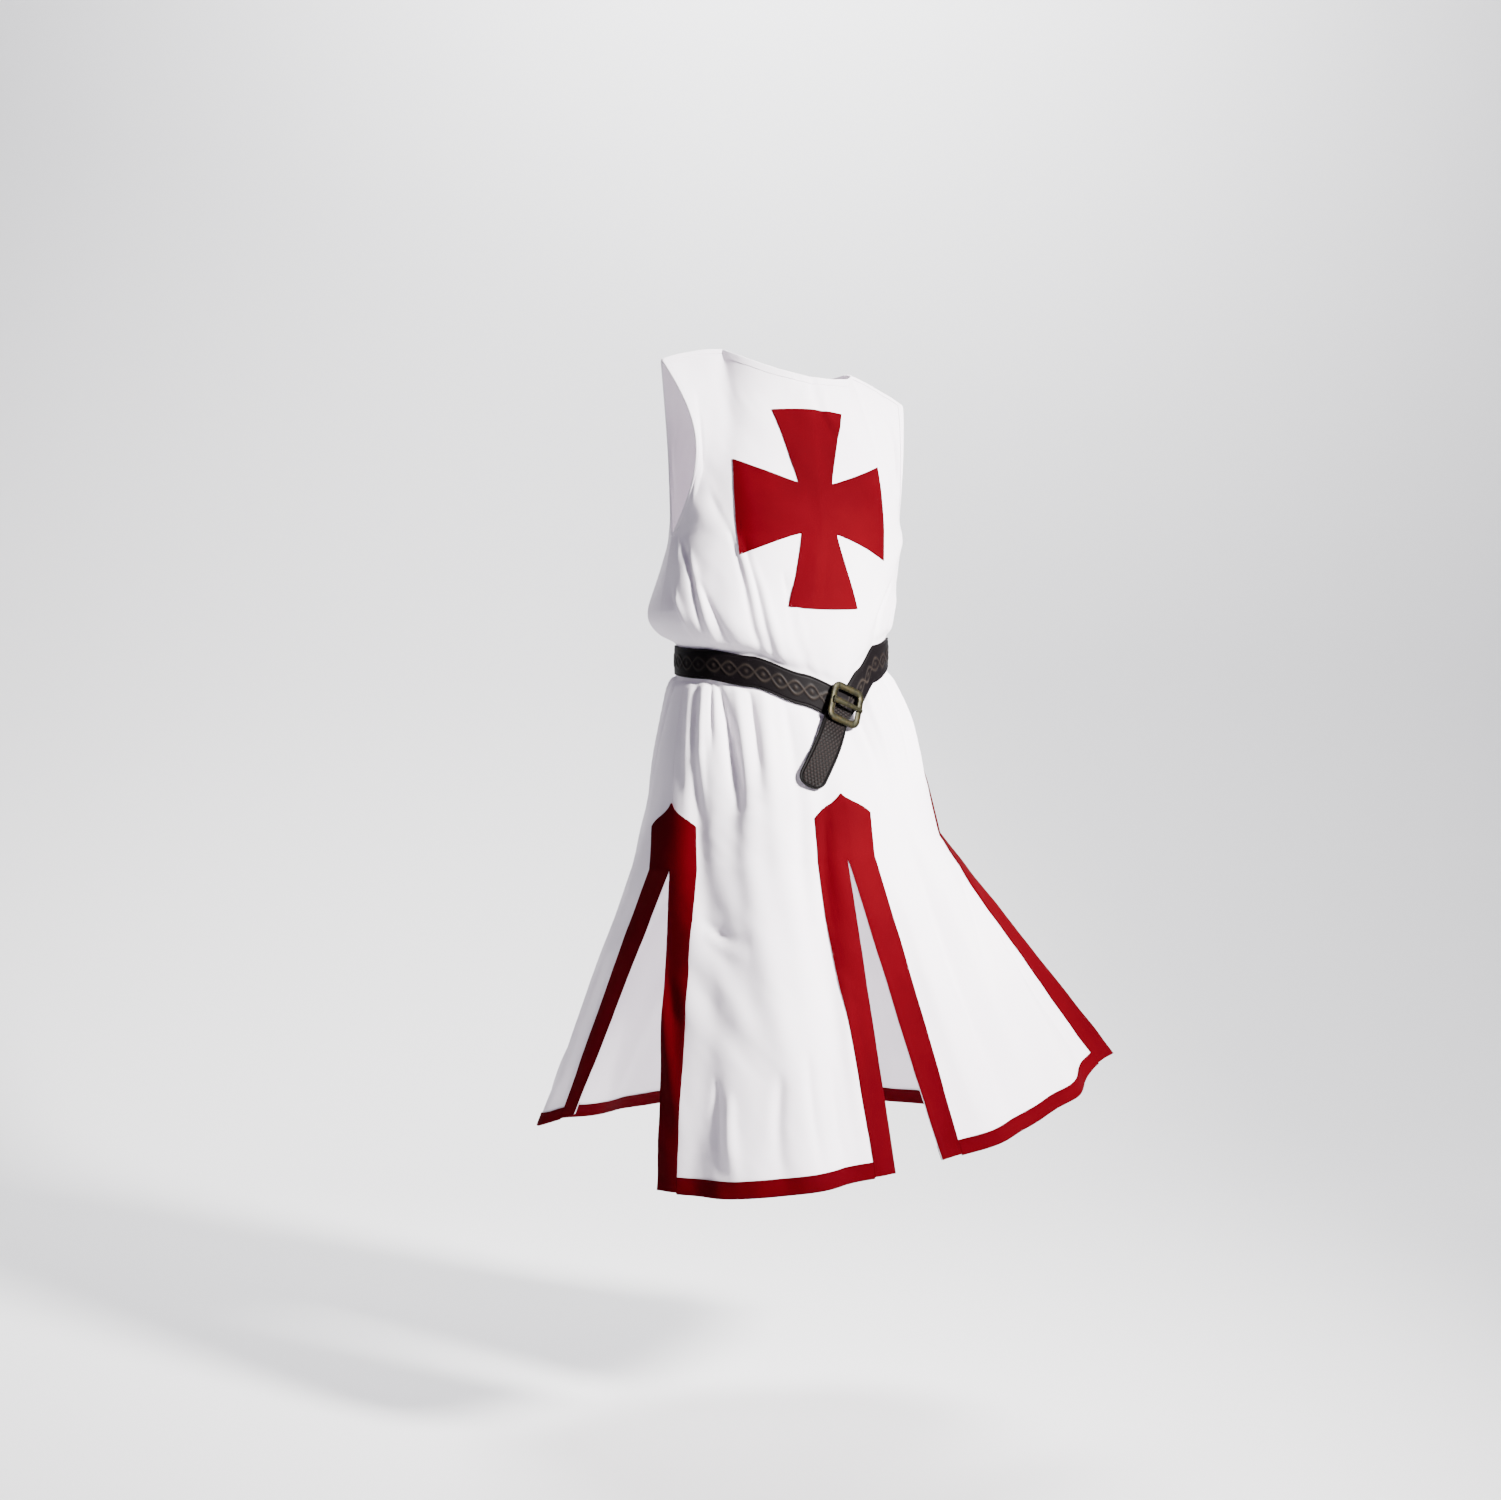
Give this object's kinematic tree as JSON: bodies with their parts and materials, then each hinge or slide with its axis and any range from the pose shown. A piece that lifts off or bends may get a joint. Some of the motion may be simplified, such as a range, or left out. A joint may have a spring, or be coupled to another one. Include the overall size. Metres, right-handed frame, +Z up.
{
  "type": "medieval surcoat",
  "caption": "Hollow worn surcoat: sleeveless white front and back with a flared red cross, red-banded skirt slits and hems, and a buckled leather belt at the waist.",
  "frame": {"origin": "on the neck's axis, level with the shoulders that hold the garment up", "axes": "+Z up the body, -Y out of the chest, +X to the wearer's left"},
  "size_m": [0.7786, 0.6309, 1.1293],
  "materials": {
    "white_cloth": "bright white cotton twill, soft matt",
    "red_cloth": "deep red cotton, matt with a faint sheen",
    "belt_leather": "near-black brown tooled leather, worn highlights",
    "buckle_bronze": "old olive bronze, dull and uneven"
  },
  "bodies": {
    "root": {"front": "white_cloth", "back": "white_cloth", "cross": "red_cloth", "trim_front_slit": "red_cloth", "trim_right_slit": "red_cloth", "trim_left_slit": "red_cloth", "hem_front_right": "red_cloth", "hem_front_left": "red_cloth", "hem_back": "red_cloth", "belt_strap": "belt_leather", "belt_tail": "belt_leather", "buckle_frame": "buckle_bronze", "buckle_prong": "buckle_bronze"}
  },
  "joints": []
}
